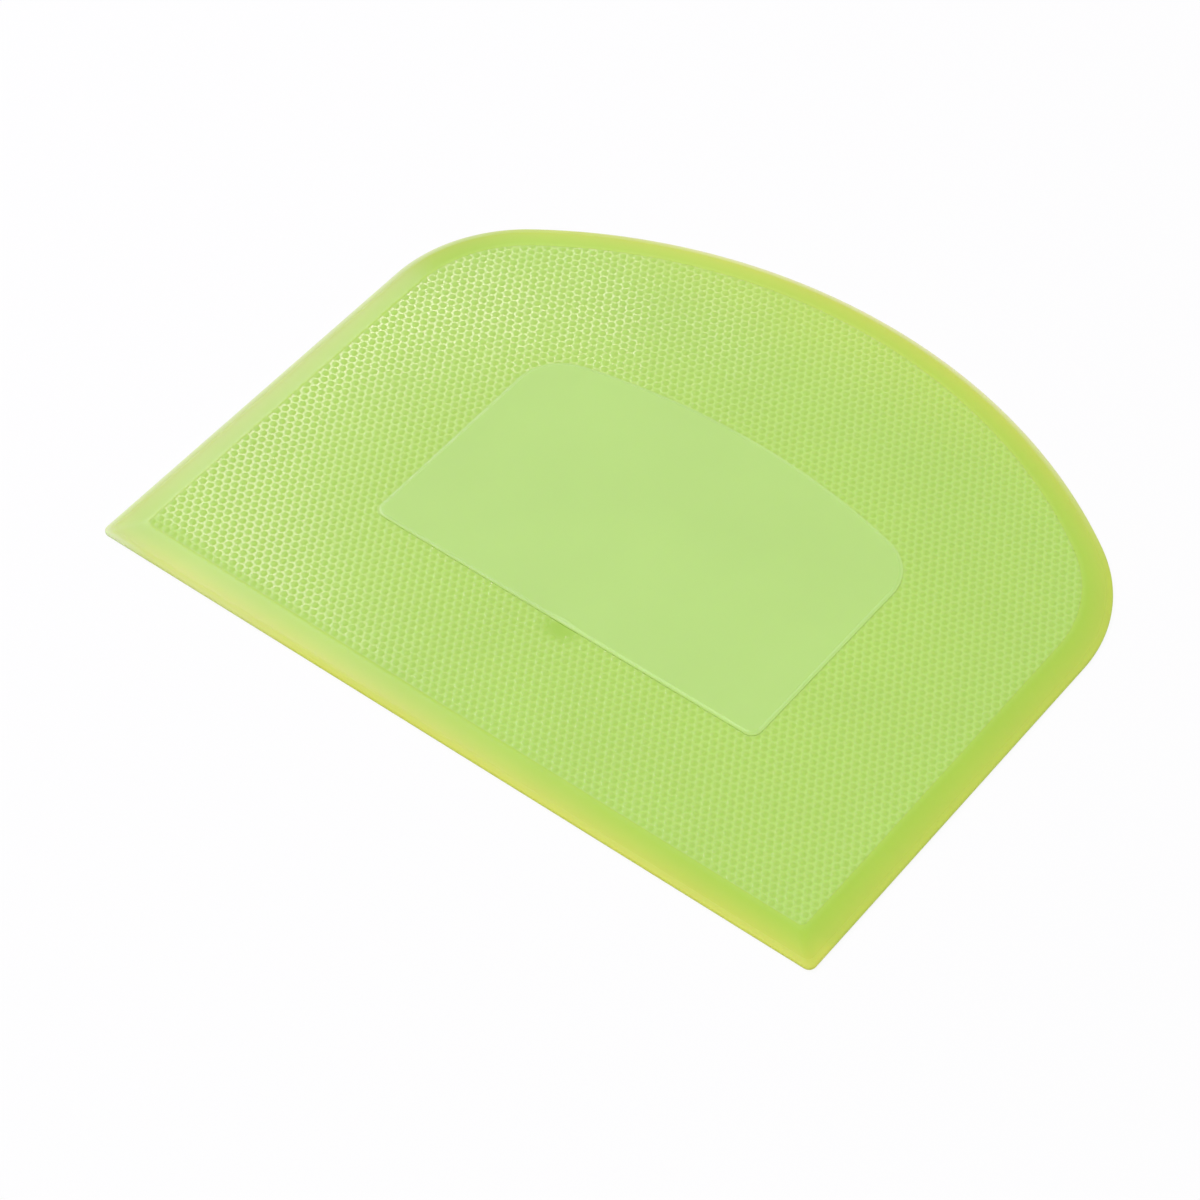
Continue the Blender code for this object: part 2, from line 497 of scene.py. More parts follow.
@dataclass(frozen=True)
class LimePlastic:
    """Translucent lime plastic, deeper where the wall is thick and yellower where it thins out."""

    skin: Skin
    deep: Colour
    pale: Colour
    roughness: float
    stud_roughness: float = 0.0
    stud_blend: Pair = (0.05, 0.60)
    stud_satin: Pair = (0.0, 0.5)
    roughness_drift: float = 0.05
    patch_size: float = 8.8 * MM
    cloud_size: float = 22 * MM
    cloud_strength: float = 0.10
    grain_size: float = 0.16 * MM
    grain_depth: float = 0.0003 * MM
    glow: float = 0.3
    glow_reach: float = 0.5 * MM
    glow_spread: Colour = (0.7, 1.0, 0.3)
    index: float = 1.56
    gate_tint: Colour = from_srgb(166, 210, 73)
    gate_place: Pair = (0.0, 0.0)
    gate_spread: Pair = (2.8 * MM, 2.1 * MM)
    # Painted shade: a deeper tone on the field beside the panel's straight edge, and at the panel's foot
    # there.
    seam_painted_shade: Colour = from_srgb(183, 221, 110)
    seam_shade_span: Pair = (0.05 * MM, 0.22 * MM)
    seam_shade_front: Pair = (1.6 * MM, 3.2 * MM)
    slope_span: Pair = (-1.35 * MM, 4.275 * MM)
    crease_tone: Colour = from_srgb(182, 221, 84)
    crease_blend: Pair = (3.5 * MM, 4.9 * MM)
    arris_roughness: float = 0.0
    arris_span: Pair = (0.45 * MM, 0.72 * MM)
    foot_span: Pair = (0.10 * MM, 0.26 * MM)
    arris_highlight_span: Pair = (-3.0 * MM, 1.0 * MM)
    edge_roughness: float = 0.0
    worn_span: Pair = (0.39 * MM, 1.17 * MM)
    warm_shift: Colour = (1.12, 1.04, 0.98)
    warm_span: Pair = (30.0 * MM, 50.0 * MM)
    # Painted sheen: a whitish tone on the bevel's thin edge at the crown and toward the left.
    edge_painted_sheen: Colour = from_srgb(213, 227, 173)
    edge_sheen_span: float = 1.3 * MM
    tip_sheen_span: Pair = (20.0 * MM, 40.0 * MM)
    tip_sheen_share: float = 0.35
    # Painted shade: darker bevel tones on the left side. The left share also carries the edge's painted
    # sheen.
    left_shade_and_sheen_span: Pair = (46.0 * MM, 61.0 * MM)
    left_painted_shade_pale: Colour = from_srgb(186, 204, 74)
    left_painted_shade_deep: Colour = from_srgb(167, 207, 59)
    # Painted sheen: a paler, warmer tone on the front bevel.
    front_sheen_span: Pair = (-48.0 * MM, -45.0 * MM)
    front_painted_sheen: Colour = from_srgb(213, 217, 80)
    # Painted highlight: a lighter arris to the right of the gate.
    arris_painted_highlight: Colour = from_srgb(188, 228, 122)
    # Painted highlight: a paler tone on the gate's bump.
    bump_painted_highlight: Colour = from_srgb(194, 229, 136)
    bump_highlight_span: Pair = (0.55 * MM, 0.80 * MM)
    bump_highlight_half: float = 1.6 * MM

    def crown_share(self, sheet: ShaderSheet, place: Wire) -> Wire:
        """Work out how far a place lies into the warmer crown, from 0 to 1."""
        return sheet.ease(sheet.axes(place)[1], *self.warm_span)

    def seam_shade_share(self, sheet: ShaderSheet, place: Wire) -> Wire:
        """Work out how far a place lies beside the panel's straight edge, from 0 to 1."""
        return 1.0 - sheet.ease(sheet.axes(place)[1] - self.gate_place[1], *self.seam_shade_front)

    def base_colour(self, sheet: ShaderSheet, place: Wire) -> Wire:
        """Work out the colour before it clouds.

        Args:
            sheet: The material's nodes.
            place: Where on the object.

        Returns:
            On the bevel, pale at the thin edge, to deep near the crease, where the plate's tone
            comes in. A painted whitish sheen lies on the thin edge at the crown and toward the
            left, painted shade darkens the left bevel and a painted sheen lightens the front one.
            On the honeycomb, pale on the web and deep on the studs, with the gate's tint about its
            mark. On the panel, pale, with a painted highlight on the arris to the right of the
            gate and on the bump at it. Both have a deep line of painted shade at the panel's
            front.
        """
        if self.skin is Skin.BEVEL:
            inset = sheet.attribute("inset")
            x, y, _ = sheet.axes(place)
            # Painted shade darkens the left bevel, and a painted sheen lightens the front bevel.
            left = sheet.ease(0.0 - x, *self.left_shade_and_sheen_span)
            behind = sheet.ease(y, *self.front_sheen_span)
            right = sheet.blend(behind, self.front_painted_sheen, self.pale)
            outer = sheet.blend(left, right, self.left_painted_shade_pale)
            rise = sheet.ease(inset, *self.slope_span)
            slope = sheet.blend(rise, outer, sheet.blend(left, self.deep, self.left_painted_shade_deep))
            # Painted sheen: the thin outer edge turns whitish at the crown and toward the left.
            thin = 1.0 - sheet.ease(inset, 0.0, self.edge_sheen_span)
            tip_sheen = sheet.ease(0.0 - x, *self.tip_sheen_span) * self.tip_sheen_share
            wear_and_sheen = sheet.math("MAXIMUM", self.crown_share(sheet, place), left)
            rim = sheet.blend(thin * sheet.math("MAXIMUM", wear_and_sheen, tip_sheen), slope, self.edge_painted_sheen)
            return sheet.blend(sheet.ease(inset, *self.crease_blend), rim, self.crease_tone)
        if self.skin is Skin.HONEYCOMB:
            stud = sheet.ease(sheet.attribute("stud"), *self.stud_blend)
            cells = sheet.blend(stud, self.pale, self.deep)
            x, y, _ = sheet.axes(place)
            across = (x - self.gate_place[0]) / self.gate_spread[0]
            along = (y - self.gate_place[1]) / self.gate_spread[1]
            spread = across * across + along * along
            near_gate = math.e ** (0.0 - spread * spread)
            # Painted shade: a deeper tone on the field beside the panel's straight edge.
            seam_shade = 1.0 - sheet.ease(sheet.attribute("from_panel"), *self.seam_shade_span)
            seam_shaded = sheet.blend(seam_shade * self.seam_shade_share(sheet, place), cells, self.seam_painted_shade)
            return sheet.blend(near_gate, seam_shaded, self.gate_tint)
        inset = sheet.attribute("inset")
        x = sheet.axes(place)[0]
        # Painted highlight: the arris turns lighter to the right of the gate.
        arris = sheet.blend(sheet.ease(x, *self.arris_highlight_span), self.pale, self.arris_painted_highlight)
        face = sheet.blend(sheet.ease(inset, *self.arris_span), arris, self.pale)
        # The panel's straight front, where the painted shade line and the bump's painted highlight go.
        front = self.seam_shade_share(sheet, place)
        # Painted highlight on the gate's bump.
        across = (x - self.gate_place[0]) / self.bump_highlight_half
        bump = math.e ** (0.0 - across * across) * (1.0 - sheet.ease(inset, *self.bump_highlight_span))
        bump_highlighted = sheet.blend(bump * front, face, self.bump_painted_highlight)
        # Painted shade: a deeper line at the panel's foot along its front.
        foot = 1.0 - sheet.ease(inset, *self.foot_span)
        return sheet.blend(foot * front, bump_highlighted, self.seam_painted_shade)

    def material(self) -> bpy.types.Material:
        """Build the material.

        Returns:
            A plastic whose colour clouds slightly, with a fine moulded grain.
        """
        sheet = ShaderSheet(bpy.data.materials.new(f"{self.skin.value}_plastic"))
        place = sheet.place()
        cloud = sheet.noise(place, self.cloud_size, detail=3.0)
        base = self.base_colour(sheet, place)
        shade = 1.0 + (cloud - 0.5) * self.cloud_strength
        warmth = self.crown_share(sheet, place)
        shades = [shade * (1.0 + warmth * (shift - 1.0)) for shift in self.warm_shift]
        shading = sheet.add("ShaderNodeCombineColor", sockets=dict(enumerate(shades)))
        colour = sheet.blend(1.0, base, Wire(sheet, shading.outputs[0]), "MULTIPLY")
        patch = sheet.noise(place, self.patch_size, detail=2.0)
        roughness = self.roughness + (patch - 0.5) * self.roughness_drift
        if self.skin is Skin.HONEYCOMB:
            satin = sheet.ease(sheet.attribute("stud"), *self.stud_satin)
            roughness = roughness + satin * self.stud_roughness
        if self.skin is Skin.SMOOTH:
            flat = sheet.ease(sheet.attribute("inset"), *self.arris_span)
            roughness = roughness - (1.0 - flat) * (self.roughness - self.arris_roughness)
        if self.skin is Skin.BEVEL:
            wear_and_sheen = 1.0 - sheet.ease(sheet.attribute("inset"), *self.worn_span)
            roughness = roughness + wear_and_sheen * self.edge_roughness
        grain = {"Distance": self.grain_depth, "Height": sheet.noise(place, self.grain_size, detail=1.0)}
        relief = sheet.add("ShaderNodeBump", sockets={"Strength": 1.0, **grain})
        shader = sheet.add(
            "ShaderNodeBsdfPrincipled",
            {"subsurface_method": "RANDOM_WALK"},
            {
                "Base Color": colour,
                "Roughness": roughness,
                "Normal": Wire(sheet, relief.outputs["Normal"]),
                "IOR": self.index,
                "Subsurface Weight": self.glow,
                "Subsurface Radius": self.glow_spread,
                "Subsurface Scale": self.glow_reach,
            },
        )
        return sheet.finish(shader)


def add_piece(mesh: bpy.types.Mesh, material: bpy.types.Material, node: str) -> None:
    """Put a finished mesh in the scene in place of a solid.

    Args:
        mesh: The mesh, in its place.
        material: Its material.
        node: The solid that it stands for.
    """
    piece = bpy.data.objects.new(mesh.name, mesh)
    bpy.context.scene.collection.objects.link(piece)
    mesh.materials.append(material)
    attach(piece, ROOT)
    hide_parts(node)
    LOG.info("%s: %d vertices, %d faces", piece.name, len(mesh.vertices), len(mesh.polygons))


def packed_outline(node: str, rise: float, shoulder_radius: float, corner_radius: float) -> Outline:
    """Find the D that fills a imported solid's box.

    Args:
        node: The solid.
        rise: Height of the back arc over its own chord.
        shoulder_radius: Radius of the two shoulders.
        corner_radius: Radius of the two front corners.

    Returns:
        The outline, with crown radius (half_width^2 + rise^2) / (2 rise).
    """
    low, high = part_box(node)
    crown_radius = (high.x**2 + rise**2) / (2 * rise)
    return Outline(high.x, low.y, high.y, crown_radius, shoulder_radius, corner_radius)


def rolled_edge(start: np.ndarray, corner: np.ndarray, end: np.ndarray, count: int) -> np.ndarray:
    """Round a section's corner, along (1 - t)^2 start + 2 t (1 - t) corner + t^2 end.

    Args:
        start: Inset and height where the curve begins.
        corner: Where the sharp corner would be.
        end: Where the curve ends.
        count: How many points there are.

    Returns:
        Rows of inset and height.
    """
    t = np.linspace(0.0, 1.0, count)[:, None]
    return (1 - t) ** 2 * start + 2 * t * (1 - t) * corner + t**2 * end


@dataclass
class ScrapingLip:
    """The bevelled rim, with soft edges and a fine groove where it meets the plate."""

    outline: Outline
    finish: LimePlastic
    top: float
    bevel_width: float = 4.5 * MM
    edge_thickness: float = 0.5 * MM
    crease_corner: float = 0.8 * MM
    ledge_width: float = 2.0 * MM
    ledge_thickness: float = 0.4 * MM
    edge_round: float = 0.14 * MM
    roll_fall: float = 0.16 * MM
    roll_width: float = 0.40 * MM
    groove_depth: float = 0.002 * MM
    groove_width: float = 0.05 * MM
    groove_brow: Pair = (0.4, 0.15)
    round_steps: int = 5
    roll_steps: int = 8
    slope_steps: int = 10
    steps: ArcSteps = ArcSteps()

    def section(self) -> np.ndarray:
        """Trace the rim's section, from the underside out, up the bevel and down the joint.

        Returns:
            Rows of inset and height. The lower edge is a quarter circle, radius + radius (cos a,
            sin a). The outer edge rolls over into the bevel, which then runs straight to the crest.
        """
        radius = self.edge_round
        angle = np.radians(np.linspace(270, 180, self.round_steps))
        lower = radius + radius * np.column_stack([np.cos(angle), np.sin(angle)])
        slope = (self.top - self.edge_thickness) / self.bevel_width
        start = np.array([0.0, self.edge_thickness - self.roll_fall])
        corner = np.array([0.0, self.edge_thickness])
        end = corner + self.roll_width * np.array([1.0, slope])
        upper = rolled_edge(start, corner, end, self.roll_steps)
        crest = (self.bevel_width - self.groove_width, self.top)
        rise = np.linspace(upper[-1], crest, self.slope_steps)[1:]
        brow_width, brow_fall = self.groove_brow
        roll = np.array([
            [self.bevel_width - brow_width * self.groove_width, self.top - brow_fall * self.groove_depth],
            [self.bevel_width, self.top - self.groove_depth],
            [self.bevel_width, self.ledge_thickness],
        ])
        ledge_end = self.bevel_width + self.ledge_width
        ledge = np.array([
            [ledge_end - radius, self.ledge_thickness],
            [ledge_end, self.ledge_thickness - radius],
            [ledge_end, 0.0],
        ])
        return np.concatenate([lower, upper, rise, roll, ledge])

    def build(self) -> None:
        """Make the rim, a closed ring.

        Its corner radius runs evenly from the outer edge's to the crease's across the bevel.
        """
        section = self.section()
        share = np.clip(section[:, 0] / self.bevel_width, 0.0, 1.0)
        radii = self.outline.corner_radius + (self.crease_corner - self.outline.corner_radius) * share
        pairs = zip(section[:, 0], radii)
        rings = np.stack([self.outline.inset(inset, radius).points(self.steps) for inset, radius in pairs])
        surface = ring_surface(section, rings, closed=True)
        mesh = surface.to_mesh("lip_moulding")
        shape = bmesh.new()
        shape.from_mesh(mesh)
        bmesh.ops.recalc_face_normals(shape, faces=shape.faces)
        shape.to_mesh(mesh)
        shape.free()
        mesh.set_sharp_from_angle(angle=STEEP)
        add_piece(mesh, self.finish.material(), "scraping_lip")


@dataclass
class GripPlate:
    """The plate with its honeycomb of low studs, its rebated underside and the panel's pocket."""

    edge: Outline
    pocket: Outline
    finish: LimePlastic
    top: float
    pitch: float = 1.30 * MM
    stud_radius: float = 0.54 * MM
    stud_corner: float = 1.07
    stud_height: float = 0.058 * MM
    foot_rise: float = 0.0002 * MM
    foot_share: float = 0.15
    cap_share: float = 0.56
    fade: float = 0.25 * MM
    front_roll: Pair = (2.2 * MM, 0.03 * MM)
    gate_place: Pair = (0.0, 0.0)
    gate_spread: Pair = (2.4 * MM, 1.8 * MM)
    overhang: float = 0.8 * MM
    pocket_depth: float = 0.7 * MM
    lap: float = 2.05 * MM
    corner: float = 0.75 * MM
    sharp_angle: float = 30.0
    on_foot: float = 0.99
    margin: int = 3
    snap: float = 0.01
    merge: float = 0.09 * MM
    sliver: float = 0.001 * MM
    level: float = 0.01 * MM
    steps: ArcSteps = ArcSteps(front=60, side=24, shoulder=16, crown=50)

    def cells(self) -> tuple[np.ndarray, np.ndarray]:
        """Lay out whole cells over the plate's box.

        Cell centres stand in rows along X, a pitch apart, with every other row moved by half a
        pitch and the rows pitch sin 60 apart. Each cell has a hexagon of web that its neighbours
        share, and on it the stud's foot of twelve points and its shoulder of six, closed by a cap.
        The foot is a hexagon with round corners: every other point stands further out.

        Returns:
            Rows of X, Y, Z, stud, from 0 on the web to 1 on the stud, and foot, which is 1 on the
            foot's line alone. Then the triangles.
        """
        row_step = self.pitch * math.sin(math.radians(60))
        columns = int(self.edge.half_width / self.pitch) + self.margin
        rows = int((self.edge.back - self.edge.front) / 2 / row_step) + self.margin
        column, row = np.meshgrid(np.arange(-columns, columns + 1), np.arange(-rows, rows + 1))
        middle_y = (self.edge.back + self.edge.front) / 2
        centre_x = (column + 0.5 * (row % 2)) * self.pitch
        centre_y = middle_y + row * row_step
        centres = np.stack([centre_x.ravel(), centre_y.ravel()], axis=1)
        nearby = self.edge.distance(centres) < self.pitch
        clear = self.pocket.distance(centres) > -self.pitch
        centres = centres[nearby & clear]

        def ring(count: int, start: float, radius: float) -> np.ndarray:
            """Place points evenly on a circle, from a first angle in degrees."""
            angle = math.radians(start) + 2 * math.pi * np.arange(count) / count
            return radius * np.stack([np.cos(angle), np.sin(angle)], axis=1)

        pattern = np.concatenate([
            ring(6, 30.0, self.pitch / math.sqrt(3)),
            ring(12, 0.0, self.stud_radius) * np.tile([1.0, self.stud_corner], 6)[:, None],
            ring(6, 30.0, self.stud_radius * self.cap_share),
        ])
        ring_sizes = (6, 12, 6)
        foot_first, shoulder_first = 6, 18
        stud = np.repeat([0.0, self.foot_share, 1.0], ring_sizes)
        foot = np.repeat([0.0, 1.0, 0.0], ring_sizes)
        rise = np.repeat([0.0, self.foot_rise, self.stud_height], ring_sizes)

        corner = np.arange(6)
        next_corner = (corner + 1) % 6
        foot_start, foot_middle, foot_end = (foot_first + (2 * corner + step) % 12 for step in (1, 2, 3))
        shoulder, next_shoulder = shoulder_first + corner, shoulder_first + next_corner
        unit = np.concatenate([
            np.column_stack([corner, foot_middle, foot_start]),
            np.column_stack([corner, next_corner, foot_middle]),
            np.column_stack([next_corner, foot_end, foot_middle]),
            np.column_stack([foot_start, foot_middle, shoulder]),
            np.column_stack([foot_middle, next_shoulder, shoulder]),
            np.column_stack([foot_middle, foot_end, next_shoulder]),
            shoulder_first + np.array([[0, 1, 2], [0, 2, 3], [0, 3, 4], [0, 4, 5]]),
        ])

        places = (centres[:, None, :] + pattern[None, :, :]).reshape(-1, 2)
        count = len(centres)
        values = np.column_stack([places, *(np.tile(row, count) for row in (rise, stud, foot))])
        triangles = (unit[None, :, :] + len(pattern) * np.arange(count)[:, None, None]).reshape(-1, 3)
        key = np.round(places / (self.snap * self.pitch)).astype(np.int64)
        _, first, shared = np.unique(key, axis=0, return_index=True, return_inverse=True)
        return values[first], shared.reshape(-1)[triangles]

    def relief(self, values: np.ndarray) -> np.ndarray:
        """Fade the studs out about the gate, at the plate's edge and beside the panel.

        Args:
            values: Rows of X, Y, Z, stud and foot.

        Returns:
            The same rows, with Z from the table. Stud is scaled by the gate's share
            1 - exp(-((x / a)^2 + (y / b)^2)^2), and the rise in Z also by step(edge) step(panel).
            Along the straight edge the ground rolls off by fall (1 - y / width)^2.
        """
        from_edge = smooth_step(0.0, self.fade, -self.edge.distance(values))
        from_pocket = smooth_step(0.0, self.fade, self.pocket.distance(values))
        across = (values[:, 0] - self.gate_place[0]) / self.gate_spread[0]
        along = (values[:, 1] - self.gate_place[1]) / self.gate_spread[1]
        keep = 1 - np.exp(-((across**2 + along**2) ** 2))
        shaped = values.copy()
        width, fall = self.front_roll
        roll = fall * np.clip(1 - (values[:, 1] - self.edge.front) / width, 0.0, 1.0) ** 2
        ground = self.top - self.stud_height - roll
        shaped[:, 2] = ground + values[:, 2] * keep * from_edge * from_pocket
        shaped[:, 3] = values[:, 3] * keep
        return shaped

    def walled(self, values: np.ndarray, triangles: np.ndarray) -> Surface:
        """Drop a wall from each open edge of the sheet, and add the foot below it.

        A wall is the quad from an open side straight down, to the rebate outside the pocket and
        to the pocket's floor inside it. The foot is the outline one lap further in.

        Args:
            values: Rows of X, Y, Z, stud and foot.
            triangles: The sheet's triangles.

        Returns:
            The surface, still open where flat caps go.
        """
        sides = np.concatenate([triangles[:, [0, 1]], triangles[:, [1, 2]], triangles[:, [2, 0]]])
        ordered = np.sort(sides, axis=1)
        _, index, uses = np.unique(ordered, axis=0, return_index=True, return_counts=True)
        open_sides = sides[index[uses == 1]]
        rim, wall_ends = np.unique(open_sides, return_inverse=True)
        wall_ends = wall_ends.reshape(-1, 2) + len(values)
        walls = np.column_stack([open_sides[:, 1], open_sides[:, 0], wall_ends[:, 0], wall_ends[:, 1]])
        lowered = values[rim].copy()
        by_pocket = self.pocket.distance(lowered) < self.pitch
        rebate_top = self.top - self.overhang
        lowered[:, 2] = np.where(by_pocket, self.top - self.pocket_depth, rebate_top)
        lowered[:, 3:] = 0.0

        foot = self.edge.inset(self.lap, self.corner).points(self.steps)
        count = len(foot)
        foot_rings = np.concatenate([
            np.column_stack([foot, np.full(count, height), np.zeros((count, 2))])
            for height in (rebate_top, 0.0)
        ])
        start = len(values) + len(lowered)
        ring = np.arange(count)
        after = (ring + 1) % count
        foot_walls = np.column_stack([ring, after, after + count, ring + count]) + start
        sole = (np.arange(count)[::-1] + start + count)[None, :]
        vertices = np.concatenate([values, lowered, foot_rings])
        measures = {
            "stud": vertices[:, 3],
            "foot": vertices[:, 4],
            "from_panel": self.pocket.distance(vertices),
        }
        return Surface(vertices, [triangles, walls, foot_walls, sole], measures)

    def sharpen(self, mesh: bpy.types.Mesh) -> None:
        """Make the studs' feet and the steep edges sharp, so that the web shades flat.

        Args:
            mesh: The plate, smooth so far.
        """
        mesh.shade_smooth()
        mesh.set_sharp_from_angle(angle=math.radians(self.sharp_angle))
        foot = np.empty(len(mesh.vertices), np.float32)
        mesh.attributes["foot"].data.foreach_get("value", foot)
        ends = np.empty(2 * len(mesh.edges), np.int32)
        mesh.edges.foreach_get("vertices", ends)
        sharp = np.empty(len(mesh.edges), bool)
        marks = mesh.attributes["sharp_edge"].data
        marks.foreach_get("value", sharp)
        marks.foreach_set("value", sharp | (foot[ends.reshape(-1, 2)] > self.on_foot).all(axis=1))

    def build(self) -> None:
        """Make the plate, one closed solid."""
        values, triangles = self.cells()
        values = self.relief(values)
        values, triangles = cut_triangles(values, triangles, self.edge.distance(values))
        values, triangles = cut_triangles(values, triangles, -self.pocket.distance(values))
        mesh = self.walled(values, triangles).to_mesh("honeycomb_plate")
        shape = bmesh.new()
        shape.from_mesh(mesh)
        bmesh.ops.remove_doubles(shape, verts=shape.verts, dist=self.merge)
        bmesh.ops.dissolve_degenerate(shape, edges=shape.edges, dist=self.sliver)
        for height in (self.top - self.overhang, self.top - self.pocket_depth):
            ends = [e for e in shape.edges if e.is_boundary and abs(e.verts[0].co.z - height) < self.level]
            bmesh.ops.triangle_fill(shape, edges=ends, use_beauty=True)
        bmesh.ops.recalc_face_normals(shape, faces=shape.faces)
        LOG.info("honeycomb_plate: %d open edges", sum(1 for e in shape.edges if not e.is_manifold))
        shape.to_mesh(mesh)
        shape.free()
        self.sharpen(mesh)
        add_piece(mesh, self.finish.material(), "grip_plate")


@dataclass
class LabelPanel:
    """The smooth bare panel, with a soft arris and the small bump that the gate leaves on its edge."""

    outline: Outline
    finish: LimePlastic
    bottom: float
    top: float
    arris_start: float = 0.26 * MM
    arris_width: float = 0.56 * MM
    arris_fall: float = 0.15 * MM
    arris_round: float = 0.05 * MM
    corner_taper: float = 0.5
    least_corner: float = 0.4 * MM
    face_insets: tuple[float, ...] = (0.10, 0.16, 0.22, 0.28, 0.36, 0.48, 0.7, 1.0, 1.5, 2.5, 4.0, 6.0)
    gate_inset: float = 0.74 * MM
    gate_height: float = 0.12 * MM
    gate_spread: Pair = (1.5 * MM, 0.17 * MM)
    turn_steps: int = 5
    steps: ArcSteps = ArcSteps(corner=10, side=40, shoulder=18, crown=80, front=260)

    def section(self) -> np.ndarray:
        """Trace the section, from the underside up the side, over the arris and in across the top.

        Returns:
            Rows of inset and height. The arris is a shallow chamfer behind a narrow level foot,
            and its upper end rolls over into the face.
        """
        face = self.top - self.gate_height
        corner = np.array([self.arris_width, face])
        slope = self.arris_fall / (self.arris_width - self.arris_start)
        start = corner - self.arris_round * np.array([1.0, slope])
        end = corner + np.array([self.arris_round, 0.0])
        turn = rolled_edge(start, corner, end, self.turn_steps)
        inward = self.arris_width + np.array(self.face_insets) * MM
        across = np.column_stack([inward, np.full(len(inward), face)])
        foot = face - self.arris_fall
        side = [[0.0, self.bottom], [0.0, foot], [self.arris_start, foot]]
        return np.concatenate([side, turn, across])

    def build(self) -> None:
        """Make the panel.

        Its top rises near the gate by h exp(-(x / a)^2 - (y / b)^2), with x and y counted from the
        bump's middle.
        """
        section = self.section()
        tapered = self.outline.corner_radius - self.corner_taper * section[:, 0]
        radii = np.maximum(tapered, self.least_corner)
        pairs = zip(section[:, 0], radii)
        rings = np.stack([self.outline.inset(inset, radius).points(self.steps) for inset, radius in pairs])
        surface = ring_surface(section, rings, closed=False)
        vertices = surface.vertices
        across = (vertices[:, 0] - GATE_X) / self.gate_spread[0]
        along = (vertices[:, 1] - self.outline.front - self.gate_inset) / self.gate_spread[1]
        raised = vertices[:, 2] > self.bottom
        vertices[:, 2] += raised * self.gate_height * np.exp(-(across**2) - along**2)
        count = rings.shape[1]
        base = np.arange(count)[::-1][None, :]
        cap = (np.arange(count) + (len(section) - 1) * count)[None, :]
        surface.faces += [base, cap]
        mesh = surface.to_mesh("panel_moulding")
        mesh.set_sharp_from_angle(angle=STEEP)
        add_piece(mesh, self.finish.material(), "label_panel")


@dataclass(frozen=True)
class SoftBox:
    """A rectangular softbox that hangs level and shines straight down."""

    name: str
    place: tuple[float, float, float]
    size: Pair
    turn: float
    radiance: float
    tint: Colour = (1.0, 1.0, 1.0)

    def build(self) -> None:
        """Hang the softbox. Its power is radiance times pi times area."""
        lamp = bpy.data.lights.new(self.name, "AREA")
        lamp.color = self.tint
        lamp.shape = "RECTANGLE"
        lamp.size, lamp.size_y = self.size
        lamp.energy = self.radiance * math.pi * self.size[0] * self.size[1]
        holder = bpy.data.objects.new(self.name, lamp)
        holder.location = self.place
        holder.rotation_euler = (0.0, 0.0, math.radians(self.turn))
        bpy.context.scene.collection.objects.link(holder)


@dataclass(frozen=True)
class Arch:
    """A shallow curve that stands at x where it is furthest left, x + curvature (y - middle)^2."""

    x: float
    middle: float
    curvature: float

    def at(self, y: float) -> float:
        """Find X at a given Y."""
        return self.x + self.curvature * (y - self.middle) ** 2


@dataclass(frozen=True)
class LightBank:
    """A stack of level strip lights, side by side along Y, that fills the band between two curves."""

    name: str
    outer: Arch
    inner: Arch
    start: float
    end: float
    height: float
    radiances: tuple[float, ...]
    tint: Colour

    def strips(self) -> list[SoftBox]:
        """Lay out the strips, one for each radiance.

        Returns:
            The strips, each from the outer curve to the inner one.
        """
        pitch = (self.end - self.start) / len(self.radiances)
        boxes = []
        for number, radiance in enumerate(self.radiances):
            y = self.start + (number + 0.5) * pitch
            left, right = self.outer.at(y), self.inner.at(y)
            middle = ((left + right) / 2, y, self.height)
            name = f"{self.name}_{number}"
            boxes.append(SoftBox(name, middle, (right - left, pitch), 0.0, radiance, self.tint))
        return boxes


def seen_by_eye(sheet: ShaderSheet) -> Wire:
    """Tell the rays that see a thing from those that light others by it.

    Args:
        sheet: The material's or world's nodes.

    Returns:
        1 for camera, glossy and transmission rays, and 0 for the rest.
    """
    node = sheet.add("ShaderNodeLightPath")
    camera, glossy, through = (
        Wire(sheet, node.outputs[name]) for name in ("Is Camera Ray", "Is Glossy Ray", "Is Transmission Ray")
    )
    return sheet.math("ADD", camera + glossy, through, clamp=True)


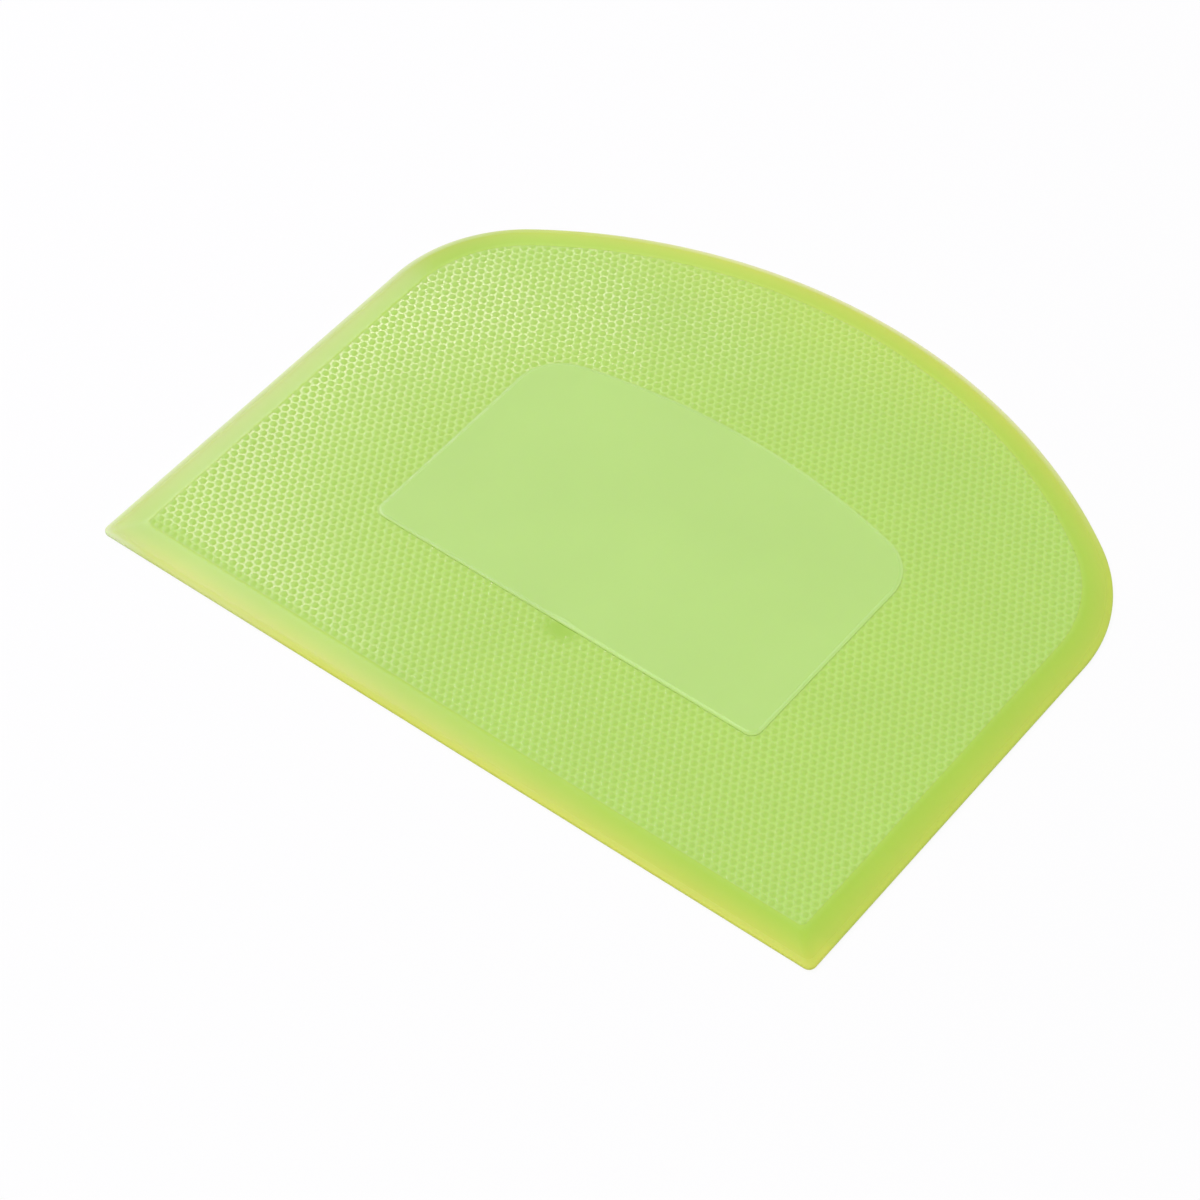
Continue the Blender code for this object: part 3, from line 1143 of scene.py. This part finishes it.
@dataclass
class Studio:
    """A pale table, soft light from all round and the camera at the photograph's angle."""

    azimuth: float = 33.893
    elevation: float = 49.054
    roll: float = 3.852
    distance: float = 578.78 * MM
    aim: tuple[float, float, float] = (1.09 * MM, -17.63 * MM, 0.0)
    lens: float = 126.25
    world_level: float = 0.53
    table_side: float = 6.0
    table_drop: float = 0.01 * MM
    table_colour: Colour = (0.93, 0.93, 0.93)
    seen_white: float = 0.86
    lights: tuple[SoftBox, ...] = (
        SoftBox("low_left_strip", (-1.535, 0.912, 1.40), (2.53, 0.34), -46.0, 4.4, (0.80, 0.61, 1.00)),
        SoftBox("left_softbox", (-1.55, -0.15, 1.15), (0.90, 0.90), 0.0, 3.0),
        SoftBox("right_softbox", (0.62, 0.95, 1.30), (0.50, 0.60), 0.0, 2.0),
        SoftBox("back_left_softbox", (-0.82, 1.15, 0.60), (0.40, 0.40), 0.0, 0.5),
        SoftBox("overhead_softbox", (-0.11, -0.45, 1.30), (0.90, 0.80), 0.0, 2.5),
    )
    bank: LightBank = LightBank(
        "left_bank",
        outer=Arch(-0.990, 1.00, 4.6),
        inner=Arch(-0.900, 1.03, 5.2),
        start=0.83,
        end=1.27,
        height=1.40,
        radiances=(5.2, 5.4, 4.6, 4.9, 5.8, 7.2, 9.2, 12.0, 13.5, 13.0, 6.0, 2.0),
        tint=(1.0, 0.56, 1.0),
    )

    def camera(self) -> None:
        """Place the camera by two angles, a roll about its own view and a distance to the aim.

        It stands away from the aim along (sin a cos e, -cos a cos e, sin e).
        """
        a, e, roll = (math.radians(angle) for angle in (self.azimuth, self.elevation, self.roll))
        away = Vector((math.sin(a) * math.cos(e), -math.cos(a) * math.cos(e), math.sin(e)))
        level = Vector((math.cos(a), math.sin(a), 0.0))
        upright = away.cross(level)
        right = level * math.cos(roll) + upright * math.sin(roll)
        up = upright * math.cos(roll) - level * math.sin(roll)
        eye = Vector(self.aim) + away * self.distance
        data = bpy.data.cameras.new("photo_camera")
        data.lens = self.lens
        data.sensor_width = 36.0
        data.clip_start = 0.01
        holder = bpy.data.objects.new("photo_camera", data)
        turn = Matrix((right, up, away)).transposed()
        holder.matrix_world = Matrix.Translation(eye) @ turn.to_4x4()
        bpy.context.scene.collection.objects.link(holder)
        bpy.context.scene.camera = holder

    def table(self) -> None:
        """Lay the table. A camera ray sees its diffuse colour mixed with plain white."""
        half = self.table_side / 2
        corners = [(x * half, y * half, -self.table_drop) for x, y in ((-1, -1), (1, -1), (1, 1), (-1, 1))]
        mesh = bpy.data.meshes.new("table")
        mesh.from_pydata(corners, [], [(0, 1, 2, 3)])
        sheet = ShaderSheet(bpy.data.materials.new("table_white"))
        paper = sheet.add("ShaderNodeBsdfDiffuse", sockets={"Color": (*self.table_colour, 1.0)})
        white = sheet.add("ShaderNodeEmission", sockets={"Color": (1.0, 1.0, 1.0, 1.0), "Strength": 1.0})
        share = seen_by_eye(sheet) * self.seen_white
        sockets = {0: share, 1: Wire(sheet, paper.outputs[0]), 2: Wire(sheet, white.outputs[0])}
        mesh.materials.append(sheet.finish(sheet.add("ShaderNodeMixShader", sockets=sockets)))
        table = bpy.data.objects.new("table", mesh)
        bpy.context.scene.collection.objects.link(table)

    def world(self) -> None:
        """Fill the room with even light, and show it as plain white."""
        world = bpy.data.worlds.new("room")
        sheet = ShaderSheet(world)
        level = self.world_level + seen_by_eye(sheet) * (1.0 - self.world_level)
        sockets = {"Color": (1.0, 1.0, 1.0, 1.0), "Strength": level}
        sheet.finish(sheet.add("ShaderNodeBackground", sockets=sockets), "ShaderNodeOutputWorld")
        bpy.context.scene.world = world

    def build(self) -> None:
        """Set the whole studio up."""
        bpy.context.scene.view_settings.view_transform = "Standard"
        self.world()
        self.table()
        for light in (*self.lights, *self.bank.strips()):
            light.build()
        self.camera()


def main() -> None:
    """Dress the scraper and set up the studio."""
    logging.basicConfig(level=logging.INFO, format="%(name)s: %(message)s")
    outline = packed_outline(
        "scraping_lip", rise=26.1 * MM, shoulder_radius=25.3 * MM, corner_radius=1.1 * MM
    )
    panel = packed_outline("label_panel", rise=5.4 * MM, shoulder_radius=8.0 * MM, corner_radius=1.6 * MM)
    plate_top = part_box("grip_plate")[1].z
    panel_low, panel_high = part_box("label_panel")
    gate_place = (GATE_X, panel.front - GATE_SMEAR)

    bevel = LimePlastic(
        Skin.BEVEL,
        deep=from_srgb(175, 214, 60),
        pale=from_srgb(196, 211, 72),
        roughness=0.22,
        edge_roughness=0.25,
        warm_shift=(1.16, 1.05, 1.06),
    )
    comb = LimePlastic(
        Skin.HONEYCOMB,
        deep=from_srgb(172, 212, 84),
        pale=from_srgb(185, 224, 105),
        roughness=0.09,
        roughness_drift=0.02,
        stud_roughness=0.28,
        gate_place=gate_place,
    )
    even = from_srgb(181, 220, 116)
    smooth = LimePlastic(
        Skin.SMOOTH, deep=even, pale=even, roughness=0.42, arris_roughness=0.22, gate_place=gate_place
    )

    lip = ScrapingLip(outline, bevel, plate_top - GripPlate.stud_height)
    lip.build()
    edge = outline.inset(lip.bevel_width, lip.crease_corner)
    GripPlate(edge, panel, comb, plate_top, gate_place=gate_place).build()
    LabelPanel(panel, smooth, panel_low.z, panel_high.z).build()
    Studio().build()


if __name__ == "__main__":
    main()
